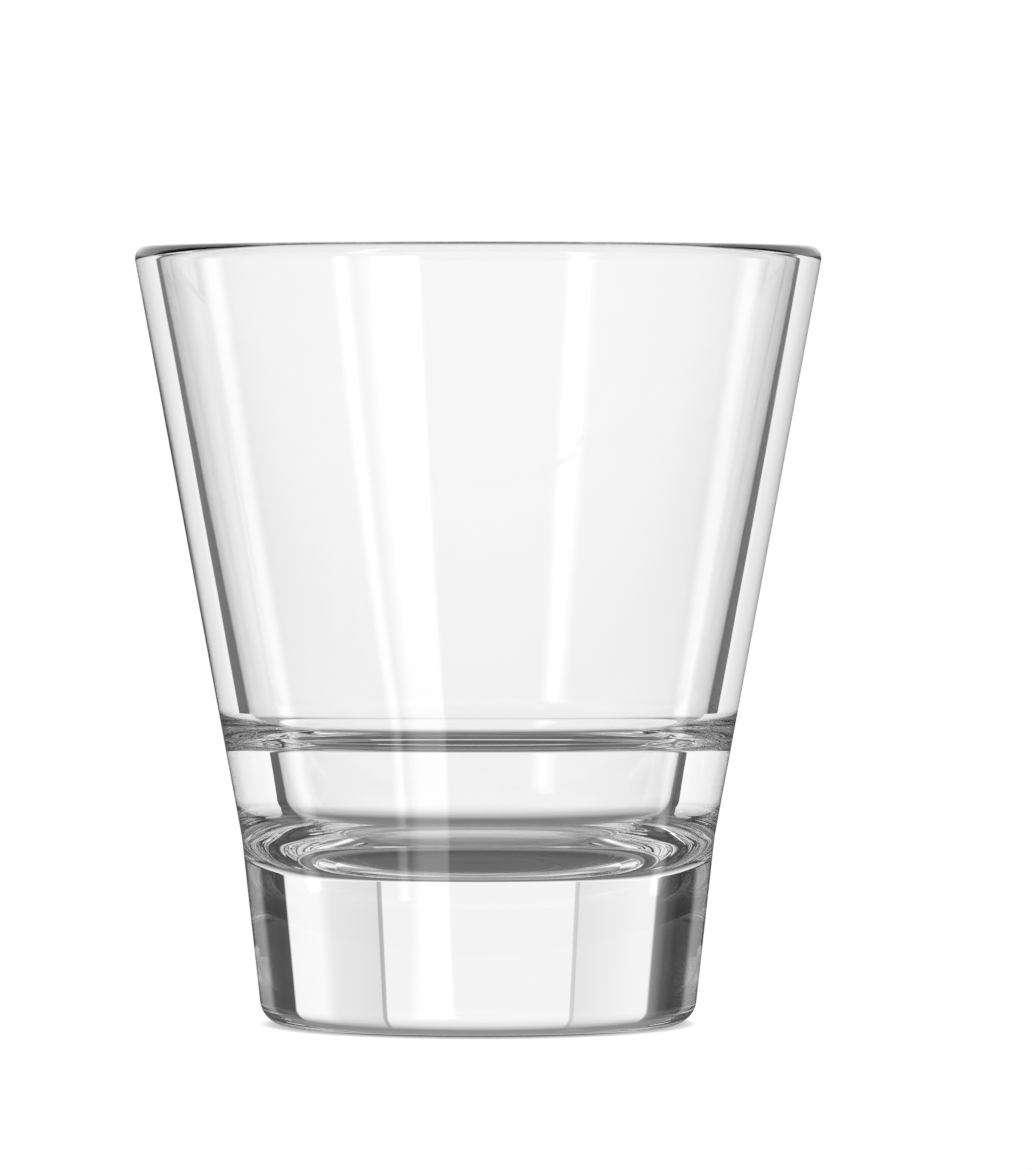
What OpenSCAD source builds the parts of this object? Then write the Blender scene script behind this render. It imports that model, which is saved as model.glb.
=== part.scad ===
// Stacking rocks glass, pressed in one piece of clear soda-lime glass.
// One half-section is drawn in the XY plane, with X as radius and Y as height, and turned about the axis.
// The origin is on the axis, in the plane of the table that the glass stands on.

/* [Overall] */
// Height from the table to the top of the rim
height = 108; // [100:0.5:120]
// Largest diameter, across the outside of the rim
rim_d = 95.25; // [90:0.25:100]
// Thickness of the lip, which is fully rounded over
lip_t = 3.3; // [2.8:0.1:4.4]

/* [Foot] */
// Diameter where the line of the foot's side would meet the table
foot_d = 60; // [56:0.5:64]
// Height at which the foot's steeper side ends and the flared body begins
foot_h = 26; // [24:0.5:30]
// Lean of the foot's side from vertical, in degrees
foot_taper = 6.3; // [4:0.1:7]
// Radius that softens the hollow line between the foot and the body
break_r = 12; // [6:1:20]
// Radius of the heel, the rounded bottom edge
heel_r = 3.5; // [2:0.25:4]

/* [Underside] */
// Diameter of the push-up, the shallow dome inside the ring that the glass stands on
push_up_d = 46; // [36:1:48]
// Height of the push-up at the axis
push_up_h = 1.2; // [0.5:0.1:2]

/* [Bowl] */
// Lean of the bowl's wall from vertical, in degrees
bowl_taper = 11.1; // [10.5:0.1:11.6]
// Height at which the bowl's wall starts to turn in to the stacking ledge
ledge_top = 44; // [43:0.1:46]
// Radius of the hollow at the foot of the bowl's wall
ledge_hollow_r = 5.5; // [4:0.5:6.5]
// Radius of the rounded shoulder, over which the ledge runs down into the well
ledge_shoulder_r = 1.5; // [1:0.25:2.5]

/* [Well] */
// Diameter where the line of the well's wall would meet its floor
well_d = 49.6; // [47:0.2:51]
// Lean of the well's wall from vertical, in degrees
well_taper = 10.8; // [8:0.1:12]
// Radius of the sweep between the well's wall and its floor
well_corner_r = 13.5; // [8:0.5:14]
// Thickness of the solid base, from the table to the well's floor
base_t = 21.4; // [18:0.2:24]

/* [Hidden] */

// Facets to a full turn
$fn = 180;

// How far a cutting outline runs past the surface that it opens
overrun = 2;

// How far the straight sides run into the rounds that they meet, so that each pair of outlines crosses once
bite = 0.002;

// How far the ledge's two rounds run into each other, so that they cross and don't only touch
lap = 0.0002;

// A point at a distance from another, at an angle from +X
function reach(from, distance, angle) = from + distance * [cos(angle), sin(angle)];

// The end of a straight side, just inside the round that it is tangent to
function touch(centre, radius, angle) = reach(centre, radius - bite, angle);

// Centre of the lip's round, half a lip in from the widest point and the top
lip_r = lip_t / 2;
lip_centre = [rim_d / 2 - lip_r, height - lip_r];

// Line of the foot's side, and its end at the break
function foot_side(y) = foot_d / 2 + y * tan(foot_taper);
break_point = [foot_side(foot_h), foot_h];

// The body's side runs from the break, tangent to the outside of the lip
body_run = lip_centre - break_point;
body_taper = atan2(body_run.x, body_run.y) + asin(lip_r / norm(body_run));
lip_outer = touch(lip_centre, lip_r, -body_taper);

// The break's round lies outside the glass and touches both sides at the same distance from the break
break_turn = body_taper - foot_taper;
break_length = break_r * tan(break_turn / 2);
break_centre = reach(reach(break_point, -break_length, 90 - foot_taper), break_r, -foot_taper);
break_low = touch(break_centre, break_r, 180 - foot_taper);
break_high = touch(break_centre, break_r, 180 - body_taper);

// The heel's round touches the table and the foot's side
heel_centre = [foot_side(heel_r) - heel_r / cos(foot_taper), heel_r];
heel_side = touch(heel_centre, heel_r, -foot_taper);

// The push-up is a cap of one large sphere
push_up_r = (push_up_d ^ 2 / 4 + push_up_h ^ 2) / (2 * push_up_h);

// The bowl's wall runs down from the inside of the lip
lip_inner = touch(lip_centre, lip_r, 180 - bowl_taper);
function bowl_wall(y) = lip_centre.x - lip_r / cos(bowl_taper) + (y - lip_centre.y) * tan(bowl_taper);
hollow_centre = reach([bowl_wall(ledge_top), ledge_top], ledge_hollow_r, 180 - bowl_taper);
hollow_wall = touch(hollow_centre, ledge_hollow_r, -bowl_taper);

// Line of the well's wall
function well_wall(y) = well_d / 2 + (y - base_t) * tan(well_taper);

// The shoulder's centre is one radius behind the well's wall, and both radii from the hollow's centre
radii = ledge_hollow_r + ledge_shoulder_r - lap;
behind = well_wall(0) + ledge_shoulder_r / cos(well_taper) - hollow_centre.x;
half_sum = hollow_centre.y - behind * tan(well_taper);
spread = half_sum ^ 2 - (behind ^ 2 + hollow_centre.y ^ 2 - radii ^ 2) / cos(well_taper) ^ 2;
shoulder_y = (half_sum - sqrt(spread)) * cos(well_taper) ^ 2;
shoulder_centre = [hollow_centre.x + behind + shoulder_y * tan(well_taper), shoulder_y];
shoulder_wall = touch(shoulder_centre, ledge_shoulder_r, 180 - well_taper);

// The sweep at the bottom touches the well's wall and its floor
corner_y = base_t + well_corner_r;
corner_centre = [well_wall(corner_y) - well_corner_r / cos(well_taper), corner_y];
corner_wall = touch(corner_centre, well_corner_r, -well_taper);

// Outside of the glass as a solid form, up to the middle of the lip
module outside() {
    difference() {
        union() {
            polygon([
                [0, 0],
                [heel_centre.x, 0],
                heel_centre,
                heel_side,
                break_low,
                break_centre,
                break_high,
                lip_outer,
                lip_centre,
                lip_inner,
                [0, lip_inner.y]
            ]);
            translate(heel_centre) circle(heel_r);
        }
        translate(break_centre) circle(break_r);
    }
}

// Space inside the bowl and the well, open above the rim
module drinking_space() {
    difference() {
        union() {
            polygon([
                [0, base_t],
                [corner_centre.x, base_t],
                corner_centre,
                corner_wall,
                shoulder_wall,
                shoulder_centre,
                hollow_centre,
                hollow_wall,
                lip_inner,
                lip_centre,
                [lip_centre.x, height + overrun],
                [0, height + overrun]
            ]);
            translate(corner_centre) circle(well_corner_r);
            translate(hollow_centre) circle(ledge_hollow_r);
        }
        translate(shoulder_centre) circle(ledge_shoulder_r);
    }
}

// Shallow dome under the foot, which leaves the ring that the glass stands on
module push_up() {
    translate([0, push_up_h - push_up_r]) circle(push_up_r);
}

// Half-section of the glass, with its lip rounded over
module section() {
    difference() {
        outside();
        drinking_space();
        push_up();
    }
    translate(lip_centre) circle(lip_r);
}

// The whole glass, one pressed piece
module tumbler() {
    color([0.93, 0.95, 0.95, 0.35])
    rotate_extrude() section();
}

tumbler();
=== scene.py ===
import math

import bpy
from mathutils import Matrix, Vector


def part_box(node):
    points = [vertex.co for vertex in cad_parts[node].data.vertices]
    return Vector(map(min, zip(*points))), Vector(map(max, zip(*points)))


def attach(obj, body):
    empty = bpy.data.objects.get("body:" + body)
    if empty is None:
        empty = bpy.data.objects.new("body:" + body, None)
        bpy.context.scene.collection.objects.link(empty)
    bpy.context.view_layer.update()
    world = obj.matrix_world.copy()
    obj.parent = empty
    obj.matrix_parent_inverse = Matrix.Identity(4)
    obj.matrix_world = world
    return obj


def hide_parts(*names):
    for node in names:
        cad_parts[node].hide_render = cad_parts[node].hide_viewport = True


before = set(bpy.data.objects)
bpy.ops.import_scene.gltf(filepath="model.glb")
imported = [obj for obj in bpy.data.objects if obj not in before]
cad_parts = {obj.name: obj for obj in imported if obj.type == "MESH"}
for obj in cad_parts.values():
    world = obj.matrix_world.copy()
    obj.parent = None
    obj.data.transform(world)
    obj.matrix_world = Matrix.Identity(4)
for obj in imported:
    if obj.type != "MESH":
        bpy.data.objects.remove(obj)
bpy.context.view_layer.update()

# Tumbler
# The whole glass is one piece of clear soda-lime glass, pressed between a mould and a plunger and then
# fire-polished. Its half-section is drawn as one line of straights and arcs, and turned about the axis.
mm = 0.001
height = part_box("tumbler")[1].z
rim_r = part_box("tumbler")[1].x
lip_r = 1.65 * mm
foot_r = 30 * mm
foot_h = 26 * mm
foot_taper = math.radians(6.3)
break_r = 12 * mm
heel_r = 3.5 * mm
push_up_rim_r = 23 * mm
push_up_h = 1.2 * mm
bowl_taper = math.radians(11.1)
ledge_top = 44 * mm
hollow_r = 5.5 * mm
shoulder_r = 1.5 * mm
well_r = 24.8 * mm
well_taper = math.radians(10.8)
corner_r = 13.5 * mm
base_t = 21.4 * mm
quarter = math.pi / 2


def away(start, distance, angle):
    """A point of the half-section at a distance and an angle from another. X is radius and Z is height."""
    return start + distance * Vector((math.cos(angle), 0, math.sin(angle)))


# Outside: the body's side runs from the break at the top of the foot, tangent to the lip
lip_centre = Vector((rim_r - lip_r, 0, height - lip_r))
break_point = Vector((foot_r + foot_h * math.tan(foot_taper), 0, foot_h))
body_run = lip_centre - break_point
body_taper = math.atan2(body_run.x, body_run.z) + math.asin(lip_r / body_run.length)
break_half_length = break_r * math.tan((body_taper - foot_taper) / 2)
break_low = away(break_point, -break_half_length, quarter - foot_taper)
break_centre = away(break_low, break_r, -foot_taper)
heel_x = foot_r + heel_r * math.tan(foot_taper) - heel_r / math.cos(foot_taper)
heel_centre = Vector((heel_x, 0, heel_r))

# Inside: the bowl's wall runs down from the lip, and the ledge's hollow and shoulder join it to the well
lip_inner = away(lip_centre, lip_r, math.pi - bowl_taper)
ledge_wall = Vector((lip_inner.x - (lip_inner.z - ledge_top) * math.tan(bowl_taper), 0, ledge_top))
hollow_centre = away(ledge_wall, hollow_r, math.pi - bowl_taper)

# The shoulder's centre is one radius behind the well's wall, and both radii from the hollow's centre
behind_well = well_r - base_t * math.tan(well_taper) + shoulder_r / math.cos(well_taper)
offset = behind_well - hollow_centre.x
radii = hollow_r + shoulder_r
half_sum = hollow_centre.z - offset * math.tan(well_taper)
spread = half_sum**2 - (offset**2 + hollow_centre.z**2 - radii**2) / math.cos(well_taper)**2
shoulder_z = (half_sum - math.sqrt(spread)) * math.cos(well_taper)**2
shoulder_centre = Vector((behind_well + shoulder_z * math.tan(well_taper), 0, shoulder_z))
ledge_lean = math.atan2(shoulder_centre.z - hollow_centre.z, shoulder_centre.x - hollow_centre.x)

# The sweep at the bottom of the well touches its wall and its floor
corner_x = well_r + corner_r * math.tan(well_taper) - corner_r / math.cos(well_taper)
corner_centre = Vector((corner_x, 0, base_t + corner_r))

# The push-up under the foot is a cap of one large sphere
push_up_r = (push_up_rim_r**2 + push_up_h**2) / (2 * push_up_h)
push_up_centre = Vector((0, 0, push_up_h - push_up_r))
push_up_turn = math.asin(push_up_rim_r / push_up_r)

# The pen starts as one vertex on the axis, at the top of the push-up
bpy.ops.object.select_all(action="DESELECT")
bpy.ops.mesh.primitive_plane_add(size=mm, location=(0, 0, 0))
tumbler = bpy.context.object
tumbler.name = "tumbler_glass"
bpy.ops.object.mode_set(mode="EDIT")
bpy.ops.mesh.merge(type="CENTER")
bpy.ops.transform.translate(value=(0, 0, push_up_h))
pen = Vector((0, 0, push_up_h))

# A short edge at each end of a straight keeps its shading true up to the arc that it meets
guard = 0.15 * mm
arc_step = math.radians(2.5)
fewest_steps = 4


def straight(end):
    """Draws a straight from the pen to a point, with a short edge at each end."""
    global pen
    along = (end - pen).normalized()
    for point in (pen + guard * along, end - guard * along, end):
        bpy.ops.mesh.extrude_region_move(TRANSFORM_OT_translate={"value": point - pen})
        pen = point


def arc(centre, start, end):
    """Draws an arc of the pen round a centre, from one angle to another."""
    global pen
    steps = max(fewest_steps, math.ceil(abs(end - start) / arc_step))
    bpy.ops.mesh.spin(steps=steps, angle=end - start, center=centre, axis=(0, 1, 0))
    pen = away(centre, (pen - centre).length, end)


arc(push_up_centre, quarter, quarter - push_up_turn)
straight(Vector((heel_x, 0, 0)))
arc(heel_centre, -quarter, -foot_taper)
straight(break_low)
arc(break_centre, math.pi - foot_taper, math.pi - body_taper)
straight(away(lip_centre, lip_r, -body_taper))
arc(lip_centre, -body_taper, math.pi - bowl_taper)
straight(ledge_wall)
arc(hollow_centre, -bowl_taper, ledge_lean)
arc(shoulder_centre, math.pi + ledge_lean, math.pi - well_taper)
straight(away(corner_centre, corner_r, -well_taper))
arc(corner_centre, -well_taper, -quarter)
straight(Vector((0, 0, base_t)))

# The drawn line is turned once round the axis, and its seam and two poles are closed
turn_steps = 320
weld = 0.001 * mm
bpy.ops.mesh.select_all(action="SELECT")
bpy.ops.mesh.spin(steps=turn_steps, angle=2 * math.pi, center=(0, 0, 0), axis=(0, 0, 1))
bpy.ops.mesh.select_all(action="SELECT")
bpy.ops.mesh.remove_doubles(threshold=weld)
bpy.ops.mesh.normals_make_consistent(inside=False)
bpy.ops.object.mode_set(mode="OBJECT")
bpy.ops.object.shade_smooth()


def colour(hex_code):
    """An sRGB hex colour as linear RGBA."""
    parts = [int(hex_code[i:i + 2], 16) / 255 for i in (1, 3, 5)]
    return [c / 12.92 if c <= 0.04045 else ((c + 0.055) / 1.055)**2.4 for c in parts] + [1]


def add(tree, kind, inputs=None, **settings):
    """Adds a node with its settings. Each input gets a value or a link, from a node by its first output."""
    node = tree.nodes.new("ShaderNode" + kind)
    for name, value in settings.items():
        setattr(node, name, value)
    for socket, value in (inputs or {}).items():
        if isinstance(value, bpy.types.Node):
            value = value.outputs[0]
        if isinstance(value, bpy.types.NodeSocket):
            tree.links.new(value, node.inputs[socket])
        else:
            node.inputs[socket].default_value = value
    return node


# Fire-polished soda-lime glass: clear, with no tint to see in walls this thin. The plunger and the mould
# leave a very slight waviness in the skin, which only shows where it makes the edge of a reflection waver.
glass = bpy.data.materials.new("fire_polished_soda_lime_glass")
glass.use_nodes = True
glass_nodes = glass.node_tree
glass_nodes.nodes.clear()
wave_length = 14 * mm
wave_height = 0.004 * mm
place = add(glass_nodes, "TexCoord").outputs["Object"]
waves = add(glass_nodes, "TexNoise", {"Vector": place, "Scale": 1 / wave_length, "Detail": 1.0})
skin = add(glass_nodes, "Bump", {"Height": waves.outputs["Fac"], "Distance": wave_height, "Strength": 1.0})
clear = add(glass_nodes, "BsdfPrincipled", {
    "Base Color": colour("#ffffff"),
    "Roughness": 0.0,
    "IOR": 1.52,
    "Transmission Weight": 1.0,
    "Normal": skin,
})
add(glass_nodes, "OutputMaterial", {"Surface": clear})
tumbler.data.materials.append(glass)
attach(tumbler, "root")
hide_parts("tumbler")

# Floor
# A pale table top, white to the camera, with a painted shadow from nearness to the glass: darkest under the
# foot and fading close to the heel. The glass shows the cards and the studio in the table's place.
floor_r = 280 * mm
floor_drop = 0.05 * mm
shadow_reach = 1.5 * mm
shadow_tone = 0.5
bpy.ops.object.select_all(action="DESELECT")
bpy.ops.mesh.primitive_circle_add(
    vertices=128, radius=floor_r, fill_type="NGON", location=(0, 0, -floor_drop))
floor = bpy.context.object
floor.name = "floor"
floor.visible_glossy = False
floor.visible_transmission = False
table_top = bpy.data.materials.new("white_table_top")
table_top.use_nodes = True
top_nodes = table_top.node_tree
top_nodes.nodes.clear()
# Painted shadow: ambient occlusion dims the glow near the glass
openness = add(top_nodes, "AmbientOcclusion", {"Distance": shadow_reach}, samples=8).outputs["AO"]
painted_shadow_glow = add(top_nodes, "MapRange", {"Value": openness, "To Min": shadow_tone, "To Max": 1.0})
top_glow = add(top_nodes, "Emission", {"Color": colour("#ffffff"), "Strength": painted_shadow_glow})
add(top_nodes, "OutputMaterial", {"Surface": top_glow})
floor.data.materials.append(table_top)

# Cards
# Glowing cards on the table, hidden from the camera and seen only in the glass, that paint light and shade.
# One under the glass is a painted shade, one behind it is painted light on the table, and four round it are
# painted light that the bowl mirrors as its long pale streaks.
card_drop = 1 * mm


def tone(tree, value, stops):
    """A brightness along a value, straight from each stop, a value and its brightness, to the next."""
    start, end = stops[0][0], stops[-1][0]
    share = add(tree, "MapRange", {"Value": value, "From Min": start, "From Max": end})
    shades = add(tree, "ValToRGB", {"Fac": share})
    elements = shades.color_ramp.elements
    elements.remove(elements[0])
    elements[0].position = 0
    elements[0].color = [stops[0][1]] * 3 + [1]
    for stop, brightness in stops[1:]:
        elements.new((stop - start) / (end - start)).color = [brightness] * 3 + [1]
    return shades


def paint_glow_card(card, name, stops, across=False):
    """Gives a card a glow of painted light or shade, with brightness stops by distance from the axis or
    across it.
    """
    card.name = name
    card.visible_camera = False
    card.visible_shadow = False
    glow_material = bpy.data.materials.new(name + "_painted_glow")
    glow_material.use_nodes = True
    tree = glow_material.node_tree
    tree.nodes.clear()
    if across:
        along = add(tree, "SeparateXYZ", {"Vector": add(tree, "UVMap")}).outputs["X"]
    else:
        position = add(tree, "NewGeometry").outputs["Position"]
        along = add(tree, "VectorMath", {"Vector": position}, operation="LENGTH").outputs["Value"]
    glow = add(tree, "Emission", {"Color": colour("#ffffff"), "Strength": tone(tree, along, stops)})
    add(tree, "OutputMaterial", {"Surface": glow})
    card.data.materials.append(glow_material)


# Under the glass lies a painted shade, a dim glowing card, lighter at its edge as painted light coming in
# under the heel
shade_r = 29 * mm
shade_drop = 0.06 * mm
bpy.ops.object.select_all(action="DESELECT")
bpy.ops.mesh.primitive_circle_add(
    vertices=72, radius=shade_r, fill_type="NGON", location=(0, 0, -shade_drop))
painted_shade = bpy.context.object
painted_shade.visible_glossy = False
paint_glow_card(painted_shade, "painted_shade_under_glass", [
    (20 * mm, 0.13), (23 * mm, 0.1), (25.5 * mm, 0.08), (28 * mm, 0.27), (shade_r, 0.3),
])

# Behind the glass lies painted light on the table, with painted shade near the glass. The right half of the
# sheet's outline is given in millimetres, from near to far, and the left half mirrors it
fan = [(62, 33), (86, 46), (140, 91), (163, 107), (178, 119), (178, 205), (146, 217), (391, 580)]
fan += [(-x, y) for x, y in reversed(fan)]
bpy.ops.object.select_all(action="DESELECT")
bpy.ops.mesh.primitive_circle_add(vertices=len(fan), fill_type="NGON", location=(0, 0, -card_drop))
sheet = bpy.context.object
sheet.visible_glossy = False
for vertex, (x, y) in zip(sheet.data.vertices, fan):
    vertex.co = (x * mm, y * mm, 0)
paint_glow_card(sheet, "painted_light_on_table", [
    (43 * mm, 0.17), (50 * mm, 0.2), (64 * mm, 0.57), (92 * mm, 0.87), (120 * mm, 0.96), (200 * mm, 1.0),
])


def streak(name, brightness, rise, fall, edges):
    """Lays a long glowing card of painted light that fades in and out across itself. Its edges are pairs of
    points in millimetres.
    """
    bpy.ops.object.select_all(action="DESELECT")
    bpy.ops.mesh.primitive_grid_add(
        x_subdivisions=1, y_subdivisions=len(edges) - 1, location=(0, 0, -card_drop))
    card = bpy.context.object
    for vertex, (x, y) in zip(card.data.vertices, [point for pair in edges for point in pair]):
        vertex.co = (x * mm, y * mm, 0)

    # Small faces keep the fade even where the card narrows
    bpy.ops.object.mode_set(mode="EDIT")
    bpy.ops.mesh.select_all(action="SELECT")
    bpy.ops.mesh.subdivide(number_cuts=8)
    bpy.ops.object.mode_set(mode="OBJECT")
    card.visible_transmission = False
    paint_glow_card(card, name, [(0, 0), (rise, brightness), (fall, brightness), (1, 0)], across=True)


# Painted light on the table, which the bowl mirrors as its long pale streaks
streak("wide_streak", 2.8, 0.35, 0.92, [
    [(-264, -310), (-121, -368)], [(-72, -120), (-29, -136)], [(-14, -33), (-3.5, -36)],
])
streak("thin_streak", 3.0, 0.45, 0.6, [
    [(-310, -262), (-266, -300)], [(-85, -115), (-69, -123)], [(-60, -85), (-47, -92)],
])
streak("left_streak", 2.8, 0.4, 0.65, [[(-566, 165), (-524, 14)], [(-121, -13), (-114, -36)]])
streak("right_streak", 2.8, 0.4, 0.65, [[(583, 227), (539, 41)], [(126, 8), (119, -16)]])

# Studio
# Light panels stand behind the glass with narrow gaps between them. Dark flags to the left and right draw the
# dark edges of the glass, and a strip light in front draws its long highlight. The camera sees only white.
studio = bpy.data.worlds.new("studio")
bpy.context.scene.world = studio
studio.use_nodes = True
sky = studio.node_tree
sky.nodes.clear()
flag = 0.05
room = 0.3

# Degrees to the right of straight behind the glass, to either side of it, and above the horizon
direction = add(sky, "SeparateXYZ", {"Vector": add(sky, "TexCoord").outputs["Generated"]}).outputs
bearing = add(sky, "Math", {0: direction["X"], 1: direction["Y"]}, operation="ARCTAN2")
right = add(sky, "Math", {0: bearing}, operation="DEGREES")
aside = add(sky, "Math", {0: right}, operation="ABSOLUTE")
slope = add(sky, "Math", {0: direction["Z"]}, operation="ARCSINE")
high = add(sky, "Math", {0: slope}, operation="DEGREES")

# How one part of the studio gives way to the next, and the two places where that happens more than once
smooth = {"interpolation_type": "SMOOTHSTEP"}
round_to_front = {"Value": aside, "From Min": 58, "From Max": 66}
down_to_table = {"Value": high, "From Min": -15, "From Max": -18}

# Behind the glass, above the table: three panels with a dark gap at each side of the middle one
gap_at = 17.4
gap_half = 0.3
gap_edge = 0.6
left_gap = 0.72
right_gap = 0.55
panels = tone(sky, right, [
    (-64, 0.03), (-50, 0.03), (-45, 0.07), (-39.6, 0.28), (-38.8, 0.98), (-33, 0.97), (-18, 0.83),
    (-17, 0.965), (17, 0.955), (18, 0.79), (29, 0.86), (33, 1.02), (45.2, 1.02), (46, flag), (64, flag),
])
gap = add(sky, "MapRange", {
    "Value": right, "From Min": -1, "From Max": 1, "To Min": left_gap, "To Max": right_gap,
})
past_gap = add(sky, "Math", {0: aside, 1: gap_at}, operation="SUBTRACT")
off_gap = add(sky, "Math", {0: past_gap}, operation="ABSOLUTE")
gaps = add(sky, "MapRange", {
    "Value": off_gap, "From Min": gap_half, "From Max": gap_edge, "To Min": gap, "To Max": 1.0,
}, **smooth)
panels = add(sky, "Math", {0: panels, 1: gaps}, operation="MULTIPLY")

# Lower down the flags close in, and a slightly brighter line runs along the horizon
low_panels = add(sky, "MapRange", {
    "Value": aside, "From Min": 33.4, "From Max": 34.4, "To Min": 1.0, "To Max": flag,
}, **smooth)
behind = add(sky, "MapRange", {
    "Value": high, "From Min": -6, "From Max": -1, "To Min": low_panels, "To Max": panels,
}, **smooth)
horizon = tone(sky, high, [(-2.8, 1.04), (-1.5, 1.1), (0.5, 1.1), (2.5, 1.0)])
behind = add(sky, "Math", {0: behind, 1: horizon}, operation="MULTIPLY")

# Light that is mirrored inside the glass comes from all round. In front is a dark room with one strip
# light, and the table is dark
strip = 2.5
dark_table = 0.1
front = tone(sky, right, [
    (-180, flag), (-147, flag), (-143, strip), (-138, strip), (-134.5, flag), (180, flag),
])
high_front = add(sky, "MapRange", {
    "Value": high, "From Min": 8, "From Max": 12, "To Min": flag, "To Max": front,
}, **smooth)
around = add(sky, "MapRange", {**round_to_front, "To Min": behind, "To Max": high_front}, **smooth)
around = add(sky, "MapRange", {**down_to_table, "To Min": around, "To Max": dark_table}, **smooth)
over_back = tone(sky, high, [(13, 0.97), (27, 0.38), (52, 0.33), (86, 0.11)])
over_front = tone(sky, high, [(14, 0.3), (24, 0.62), (48, 0.92), (63, 0.38), (76, 0.45), (90, 0.11)])
overhead = add(sky, "MapRange", {
    "Value": aside, "From Min": 85, "From Max": 95, "To Min": over_back, "To Max": over_front,
}, **smooth)
mirrored_inside = add(sky, "MapRange", {
    "Value": high, "From Min": 14, "From Max": 30, "To Min": around, "To Max": overhead,
}, **smooth)

# Light that comes straight through also shows the white surroundings past the flags, and the table, with
# painted shade that makes it darker the steeper it is seen, nearer under the glass
surroundings = 0.95
past_flags = tone(sky, aside, [(59, 0.4), (76, 0.55), (88, surroundings)])
painted_table_shade = tone(sky, high, [(-90, 0.13), (-56, 0.15), (-44, 0.25), (-36, 0.85), (-28, 0.97), (-10, 0.99)])
upward = tone(sky, high, [(6, 0), (16, 0.2), (27, 1)])
seen_through = add(sky, "MapRange", {
    "Value": aside, "From Min": 59, "From Max": 66, "To Min": behind, "To Max": past_flags,
}, **smooth)
seen_through = add(sky, "MapRange", {**down_to_table, "To Min": seen_through, "To Max": painted_table_shade}, **smooth)
seen_through = add(sky, "Mix", {"Factor": upward, "A": seen_through, "B": room})
path = add(sky, "LightPath").outputs
turned_back = add(sky, "Math", {0: path["Glossy Depth"], 1: 1.0}, operation="MINIMUM")
through = add(sky, "Mix", {"Factor": turned_back, "A": seen_through, "B": mirrored_inside})

# The outside of the glass mirrors the panels and the strip light, and lower down a dark back and a dim front
mirror_flag = 0.1
lit_front = add(sky, "Math", {0: front, 1: room}, operation="MAXIMUM")
low_mirror = add(sky, "MapRange", {**round_to_front, "To Min": mirror_flag, "To Max": room}, **smooth)
high_mirror = add(sky, "MapRange", {**round_to_front, "To Min": panels, "To Max": lit_front}, **smooth)
mirrored = add(sky, "MapRange", {
    "Value": high, "From Min": 0, "From Max": 6, "To Min": low_mirror, "To Max": high_mirror,
}, **smooth)
mirrored = add(sky, "MapRange", {
    "Value": high, "From Min": 35, "From Max": 55, "To Min": mirrored, "To Max": room,
}, **smooth)

# The camera itself sees a white background
light = add(sky, "Mix", {"Factor": path["Is Transmission Ray"], "A": mirrored, "B": through})
light = add(sky, "Mix", {"Factor": path["Is Camera Ray"], "A": light, "B": 1.0})
shine = add(sky, "Background", {"Color": colour("#ffffff"), "Strength": light})
add(sky, "OutputWorld", {"Surface": shine})

# Camera
# A long lens a little below the rim, so that the rim is seen as one dark line and the foot slightly from
# above. The scale is the photo's, in pixels to a metre at the axis of the glass.
photo_height = 1170
pixels_per_metre = 7195
stand = Vector((0, -1.243, 0.089))
aim = Vector((0.00525, 0, 0.06099))
bpy.ops.object.camera_add(location=stand)
camera = bpy.context.object
camera.rotation_euler = (aim - stand).to_track_quat("-Z", "Y").to_euler()
camera.data.sensor_width = 36
camera.data.lens = camera.data.sensor_width * pixels_per_metre * -stand.y / photo_height
scene = bpy.context.scene
scene.camera = camera
scene.view_settings.view_transform = "Standard"

# Light turns back many times inside the thick foot before it gets out
bounces = 32
scene.cycles.max_bounces = bounces
scene.cycles.transmission_bounces = bounces
scene.cycles.glossy_bounces = bounces
